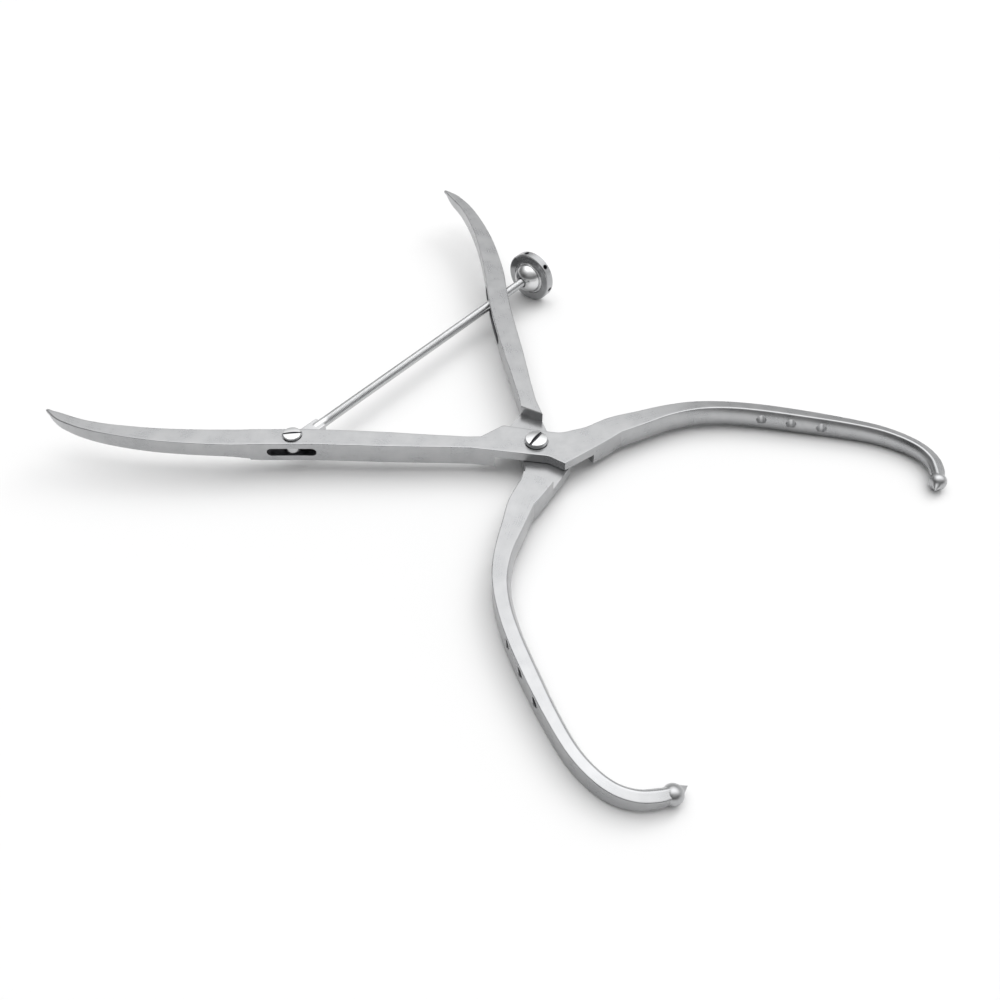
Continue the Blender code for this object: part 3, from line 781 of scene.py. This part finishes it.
def lapCutter(side):
    # takes the half of the joint where the other arm passes, with a broken edge at its open face
    upper = side > 0
    floor = lap["height"] + (lap["gap"] / 2 if upper else -lap["gap"] / 2)
    angle = math.radians(lap["angle"])

    def outlineOf(growth):
        handleLine = lap["handleShoulder"] + lap["shoulderGap"] + growth
        jawLine = lap["jawShoulder"] + lap["shoulderGap"] + growth
        corners = (
            (onLine(handleLine, math.pi + angle, far), far),
            (onLine(handleLine, math.pi + angle, -far), -far),
            (onLine(jawLine, angle, -far), -far),
            (onLine(jawLine, angle, far), far),
        )
        return [(x, side * y) for x, y in corners]

    edge = lap["edge"]
    if upper:
        levels = [(-far, far / 8), (-edge, 2 * edge), (edge, 0.0), (floor, 0.0)]
    else:
        top = armSizes["height"]
        levels = [(floor, 0.0), (top - edge, 0.0), (top + edge, 2 * edge), (far, far / 8)]
    return levelSolid("lapCutter", outlineOf, levels)


def pointedBall(side):
    # a ball with a short cone that meets it in a small fillet; the point leans back towards the joint
    radius, reach, wide = ball["radius"], ball["reach"], ball["pointRadius"]
    foot = math.degrees(math.acos(wide / radius))
    ground = radius * math.sin(math.radians(foot))
    slope = (reach - ground) / wide
    start = Vector((wide - ball["fillet"], reach - slope * (wide - ball["fillet"])))
    low = foot - math.degrees(ball["fillet"] / radius)
    end = Vector(arcPoints((0, 0), radius, low, low, 1)[0])
    bend = Vector((wide, ground))
    shares = [k / ball["filletSteps"] for k in range(ball["filletSteps"] + 1)]
    fillet = [start.lerp(bend, t).lerp(bend.lerp(end, t), t) for t in shares]
    tip = ball["tipRadius"]
    profile = [(0.0, reach), (tip, reach - tip * slope - ball["tipRound"])]
    profile += [tuple(point) for point in fillet]
    profile += arcPoints((0, 0), radius, low, -90, 40)[1:-1] + [(0.0, -radius)]
    made = turnedSolid("pointedBall", profile, ball["steps"])
    made.location = Vector((armSizes["jawLength"], side * ball["away"], ball["height"])) * mm
    made.rotation_euler = (side * math.pi / 2, 0, -side * math.radians(ball["lean"]))
    return made


def jawHoleCutters(course, side):
    made = []
    for i in range(jawHole["count"]):
        x = jawHole["first"] + i * jawHole["pitch"]
        middle, ahead = courseAt(course, x)
        hole = crossDrill(f"jawHole{i}", jawHole["radius"], widthAt(course, x) / 2, jawHole["flare"])
        hole.location = Vector((x, side * middle.y, jawHole["height"])) * mm
        hole.rotation_euler = (math.pi / 2, 0, side * math.atan2(ahead.y, ahead.x))
        made.append(hole)
    return made


def storeGrain(mesh, course, side):
    # every point's place along the arm, across it and up
    tree = kdtree.KDTree(len(course))
    at = lengthsAlong(course)
    for i, row in enumerate(course):
        tree.insert((row[0] * mm, side * row[1] * mm, 0.0), i)
    tree.balance()
    places = []
    for vertex in mesh.vertices:
        x, y, z = vertex.co
        _, i, _ = tree.find((x, y, 0.0))
        ahead = aheadAt(course, i, side)
        away = Vector((x, y)) - Vector((course[i][0], side * course[i][1])) * mm
        places += [at[i] * mm + away.dot(ahead), ahead.cross(away), z]
    stored = mesh.attributes.new("alongArm", "FLOAT_VECTOR", "POINT")
    stored.data.foreach_set("vector", places)


# Slots and seats in the handles

slots = {
    "spindleReach": 108.7,
    "spindleInset": 0.7,
    "eyeLength": 22.0,
    "eyeHeight": 3.9,
    "rodInward": 28.7,
    "rodOutward": 18.8,
    "rodHeight": 5.2,
    "middle": 5.0,
    "flare": 0.3,
    "mouthOut": 6.0,
    "roundness": 0.999,
}
seats = {"pivotRadius": 5.3, "pinRadius": 4.45, "depth": 0.5, "pinBore": 2.0, "pinFloor": 1.4, "flare": 0.15}


def slotCutter(course, side, x, length, height):
    # follows the bar's own curve, so that its broken edges are even
    centre, ahead = courseAt(course, x)
    across = Vector((-ahead.y, ahead.x))
    half = armSizes["width"] / 2
    flare, out = slots["flare"], slots["mouthOut"]
    rings = []
    for level, growth in ((-out, out), (-flare, flare), (flare, 0.0)):
        rings.append((-(half - level), growth))
    rings += [(-place, growth) for place, growth in reversed(rings)]
    made = []
    for level, growth in rings:
        wide, tall = length / 2 + growth, height / 2 + growth
        corners = ((-wide, -tall), (wide, -tall), (wide, tall), (-wide, tall))
        ring = []
        for u, v in roundedOutline([(a, b, tall * slots["roundness"]) for a, b in corners]):
            middle, _ = courseAt(course, centre.x + u * ahead.x)
            place = middle + across * (level * widthAt(course, middle.x) / armSizes["width"])
            ring.append((place.x, side * place.y, slots["middle"] + v))
        made.append(ring)
    return ringSolid("slot", made)


def seatCutter(name, radius, depth, flare, place):
    made = drill(name, radius, depth, flare)
    made.location = Vector((*place, armSizes["height"])) * mm
    return made


def arm(name, side, body):
    course = armCourse()
    made = armBody(name, side, course)
    coat(made, steelFinish(name + "Satin", satin, armGrain))
    tip = pointedBall(side)
    cutters = jawHoleCutters(course, side)
    cutters.append(lapCutter(side))
    bore = lap["boreRadius"]
    cutters.append(turnedSolid("pivotBore", [(0.0, far), (bore, far), (bore, -far), (0.0, -far)]))
    if side > 0:
        middle, _ = courseAt(course, -slots["spindleReach"])
        eye = (middle.x, middle.y + slots["spindleInset"])
        # the eye slot's walls are painted dark as shade
        cutters.append(paintShadeInto(slotCutter(course, side, eye[0], slots["eyeLength"], slots["eyeHeight"])))
        depth, flare = seats["depth"], seats["flare"]
        cutters.append(seatCutter("pivotSeat", seats["pivotRadius"], depth, flare, (0.0, 0.0)))
        cutters.append(seatCutter("pinSeat", seats["pinRadius"], depth, flare, eye))
        pinDepth = armSizes["height"] - seats["pinFloor"]
        cutters.append(seatCutter("pinBore", seats["pinBore"], pinDepth, 0.0, eye))
    else:
        middle = -slots["spindleReach"] + (slots["rodInward"] - slots["rodOutward"]) / 2
        length = slots["rodInward"] + slots["rodOutward"]
        # the rod slot's walls are painted dark as shade
        cutters.append(paintShadeInto(slotCutter(course, side, middle, length, slots["rodHeight"])))
    combine(made, [tip], "UNION")
    combine(made, cutters)
    settle(made, [tip] + cutters)
    storeGrain(made.data, course, side)
    made.data.transform(Matrix.Rotation(side * halfOpening, 4, "Z"))
    finishPiece(made, body, body)


# Screws: low crowned heads with a driver slot; the spindle's screw ends inside the bar

screws = {
    "pivotScrew": {
        "shankRadius": 3.0, "headRadius": 5.0, "headHeight": 2.7, "crown": 0.45, "edge": 0.5, "end": 0.0,
        "slotWidth": 1.3, "slotDepth": 1.1, "slotTurn": 98.0, "slotFlare": 0.15,
    },
    "spindleScrew": {
        "shankRadius": 1.8, "headRadius": 4.15, "headHeight": 1.5, "crown": 0.2, "edge": 0.45, "end": 1.7,
        "slotWidth": 0.8, "slotDepth": 0.6, "slotTurn": 48.0, "slotFlare": 0.12,
    },
}
headSeat = 0.2        # the heads' undersides lie this deep in the arm's top
endChamfer = 0.3
underChamfer = 0.15
crownSteps = 12
brimShare = 0.3       # the slot's mouth lies this share of the crown's height under the top
slotOut = 2.0         # the slot's cutter stands this far out of the head


def addScrew(name, node, body, place):
    size = screws[name]
    low = armSizes["height"] - headSeat
    top = armSizes["height"] + size["headHeight"]
    flat = size["headRadius"] - size["edge"]
    shares = [k / crownSteps for k in range(crownSteps + 1)]
    profile = [(flat * share, top - size["crown"] * share**2) for share in shares]
    profile += arcPoints((flat, top - size["crown"] - size["edge"]), size["edge"], 75, 0, 6)
    profile += [
        (size["headRadius"], low + underChamfer),
        (size["headRadius"] - underChamfer, low),
        (size["shankRadius"], low),
        (size["shankRadius"], size["end"] + endChamfer),
        (size["shankRadius"] - endChamfer, size["end"]),
        (0.0, size["end"]),
    ]
    made = turnedSolid(name, profile, 128)
    coat(made, steelFinish(name + "Polish", polished, turnedGrain))
    long, half, flare = 1.5 * size["headRadius"], size["slotWidth"] / 2, size["slotFlare"]

    def outlineOf(growth):
        wide = half + growth
        return [(-long, -wide), (long, -wide), (long, wide), (-long, wide)]

    brim = top - size["crown"] * brimShare
    levels = [(top - size["slotDepth"], 0.0), (brim - flare, 0.0), (brim + slotOut, flare + slotOut)]
    cutter = levelSolid("driverSlot", outlineOf, levels)
    cutter.rotation_euler.z = math.radians(size["slotTurn"])
    # the driver slot's walls are painted dark as shade
    combine(made, [paintShadeInto(cutter)])
    settle(made, [cutter])
    made.location = (place.x, place.y, 0.0)
    finishPiece(made, node, body)


# Spindle: flat tang with an eye, rod with a fine thread, riveted stud

spindle = {
    "eyeRadius": 5.0,
    "tangHalfWidth": 3.3,
    "eyeBore": 2.05,
    "eyeFlare": 0.2,
    "tangHeight": 3.3,
    "tangLength": 17.2,
    "tangEdge": 0.35,
    "tangCorner": 0.8,
    "rodRoot": 5.0,
    "rodRadius": 2.3,
    "rodTaper": 1.5,
    "rodChamfer": 0.4,
    "threadStart": 19.0,
    "threadStop": 1.0,
    "pitch": 0.8,
    "threadDepth": 0.17,
    "threadFade": 2.0,
    "ringStep": 0.1,
    "sides": 28,
    "studRadius": 1.4,
    "studLength": 2.6,
    "studChamfer": 0.3,
    "stopGap": 0.6,
}
knob = {
    "radius": 13.1,
    "width": 4.9,
    "chamfer": 0.5,
    "bore": 2.55,
    "recess": 9.1,
    "recessDepth": 0.9,
    "holeRadius": 1.15,
    "holeDepth": 4.5,
    "holeFlare": 0.25,
    "holeCount": 6,
    "holeTurn": -15.0,
}
seat = {
    "domeRadius": 8.1,
    "domeHeight": 6.8,
    "bore": 2.6,
    "boreEdge": 0.3,
    "rimRadius": 8.8,
    "rimDepth": 0.6,
    "rimEdge": 0.12,
    "footFillet": 0.35,
}
endStop = {"radius": 3.6, "length": 2.0, "chamfer": 0.4, "bore": 1.6, "gap": 0.3}
rodLength = (knobPlace - eyePlace).length / mm + knob["width"] + spindle["stopGap"]


def threadedRod():
    # rings across the rod; each point's depth follows the turning thread
    size = spindle
    start, end = size["threadStart"], rodLength - size["threadStop"]
    root = size["tangLength"] - size["rodRoot"]
    sides = size["sides"]
    turns = [2 * math.pi * i / sides for i in range(sides)]

    def ring(x, radiusOf):
        return [(x, radiusOf(a) * math.cos(a), radiusOf(a) * math.sin(a)) for a in turns]

    rings = [
        ring(root, lambda a: size["tangHeight"] / 2),
        ring(root + size["rodTaper"], lambda a: size["rodRadius"]),
    ]
    count = round((end - start) / size["ringStep"])
    for k in range(count + 1):
        x = start + (end - start) * k / count
        fade = min(1.0, (x - start) / size["threadFade"], (end - x) / size["threadFade"])

        def groove(a):
            phase = (x / size["pitch"] - a / (2 * math.pi)) % 1.0
            flank = 0.5 - 0.5 * math.cos(2 * math.pi * phase)
            return size["rodRadius"] - size["threadDepth"] * fade * flank

        rings.append(ring(x, groove))
    stud, tip = size["studRadius"], rodLength + size["studLength"]
    rings += [
        ring(rodLength - size["rodChamfer"], lambda a: size["rodRadius"]),
        ring(rodLength, lambda a: size["rodRadius"] - size["rodChamfer"]),
        ring(rodLength, lambda a: stud),
        ring(tip - size["studChamfer"], lambda a: stud),
        ring(tip, lambda a: stud - size["studChamfer"]),
    ]
    return ringSolid("threadedRod", rings)


def addSpindle():
    size = spindle
    radius, long, corner = size["eyeRadius"], size["tangLength"], size["tangCorner"]

    def outlineOf(growth):
        # a round eye that runs into the straight tang
        wide, length = size["tangHalfWidth"] + growth, long + growth
        meet = math.degrees(math.asin(wide / (radius + growth)))
        eye = arcPoints((0, 0), radius + growth, meet, 360 - meet, 48)
        start, end = Vector((length, -wide)), Vector((length, wide))
        ends = filletPoints(Vector(eye[-1]), start, end, corner + growth)
        ends += filletPoints(start, end, Vector(eye[0]), corner + growth)
        return [Vector(point) for point in eye] + ends

    high, edge = size["tangHeight"] / 2, size["tangEdge"]
    bend = edge * 0.3        # the broken edge is two small flats
    levels = [(-high, -edge), (bend - high, -bend), (edge - high, 0.0)]
    levels += [(-z, growth) for z, growth in reversed(levels)]
    made = levelSolid("spindleRod", outlineOf, levels)
    coat(made, steelFinish("threadSteel", threaded, rodGrain))
    rod = threadedRod()
    eye = crossDrill("eyeBore", size["eyeBore"], high, size["eyeFlare"])
    combine(made, [rod], "UNION")
    combine(made, [eye])
    settle(made, [rod, eye])
    made.matrix_world = rodFrame
    finishPiece(made, "spindle", "spindle")


def onRod(piece, place, facing=1):
    # the piece's Z turns along the rod, or back towards the eye
    turn = Matrix.Rotation(facing * math.pi / 2, 4, "Y")
    piece.matrix_world = rodFrame @ Matrix.Translation((place * mm, 0, 0)) @ turn


def addBallSeat():
    size = seat
    centre = size["domeHeight"] - size["domeRadius"]
    first = math.degrees(math.acos((size["bore"] + size["boreEdge"]) / size["domeRadius"]))
    fillet = size["footFillet"]
    foot = math.degrees(math.asin((fillet - centre) / size["domeRadius"]))
    profile = arcPoints((0, centre), size["domeRadius"], first, foot, 40)
    footRadius = profile[-1][0]
    profile += arcPoints((footRadius + fillet, fillet), fillet, 180, 270, 5)[1:]
    profile += [
        (size["rimRadius"] - size["rimEdge"], 0.0),
        (size["rimRadius"], -size["rimEdge"]),
        (size["rimRadius"], -size["rimDepth"]),
        (size["bore"], -size["rimDepth"]),
        (size["bore"], profile[0][1] - size["boreEdge"]),
    ]
    made = turnedSolid("ballSeat", profile, 128)
    coat(made, steelFinish("seatPolish", domed, turnedGrain))
    onRod(made, (knobPlace - eyePlace).length / mm, -1)
    finishPiece(made, "ball_seat", "ball_seat")


def addKnob():
    size = knob
    radius, width, edge = size["radius"], size["width"], size["chamfer"]
    made = turnedOutline("knobNut", [
        (size["bore"], width, 0.25),
        (radius - edge, width, 0.15),
        (radius, width - edge, 0.15),
        (radius, edge, 0.15),
        (radius - edge, 0.0, 0.15),
        (size["recess"], 0.0, 0.15),
        (size["recess"], size["recessDepth"], 0.1),
        (size["bore"], size["recessDepth"], 0.1),
    ], 160)
    coat(made, steelFinish("knobSatin", turnedSatin, turnedGrain))
    holes = []
    for i in range(size["holeCount"]):
        turn = math.radians(size["holeTurn"] + i * 360 / size["holeCount"])
        hole = drill(f"rimHole{i}", size["holeRadius"], size["holeDepth"], size["holeFlare"])
        hole.location = Vector((radius * math.cos(turn), radius * math.sin(turn), width / 2)) * mm
        hole.rotation_euler = (0, math.pi / 2, turn)
        # the rim holes' walls are painted dark as shade
        holes.append(paintShadeInto(hole))
    combine(made, holes)
    settle(made, holes)
    onRod(made, (knobPlace - eyePlace).length / mm)
    finishPiece(made, "knob", "knob")


def addEndStop():
    size = endStop
    made = turnedOutline("endStop", [
        (size["bore"], size["length"], 0.15),
        (size["radius"] - size["chamfer"], size["length"], 0.12),
        (size["radius"], size["length"] - size["chamfer"], 0.12),
        (size["radius"], 0.0, 0.15),
        (size["bore"], 0.0, 0.1),
    ])
    coat(made, steelFinish("stopSatin", turnedSatin, turnedGrain))
    onRod(made, rodLength + size["gap"])
    finishPiece(made, "end_stop", "spindle")


addCamera()
addFloor()
addSky()
addLamp()
print("stage: camera, floor, lamp and sky are set")

arm("armA", 1, "arm_a")
arm("armB", -1, "arm_b")
print("arms: two lofts with the lap joint, holes, slots and pointed balls")

addScrew("pivotScrew", "pivot_screw", "arm_b", Vector((0.0, 0.0)))
addScrew("spindleScrew", "spindle_screw", "arm_a", eyePlace)
print("screws: pivot and spindle screws with their driver slots")

addSpindle()
addBallSeat()
addKnob()
addEndStop()
print("spindle: threaded rod, ball seat, knob and end stop")

settings = bpy.context.scene.view_settings
settings.view_transform = "Standard"

bpy.context.view_layer.update()
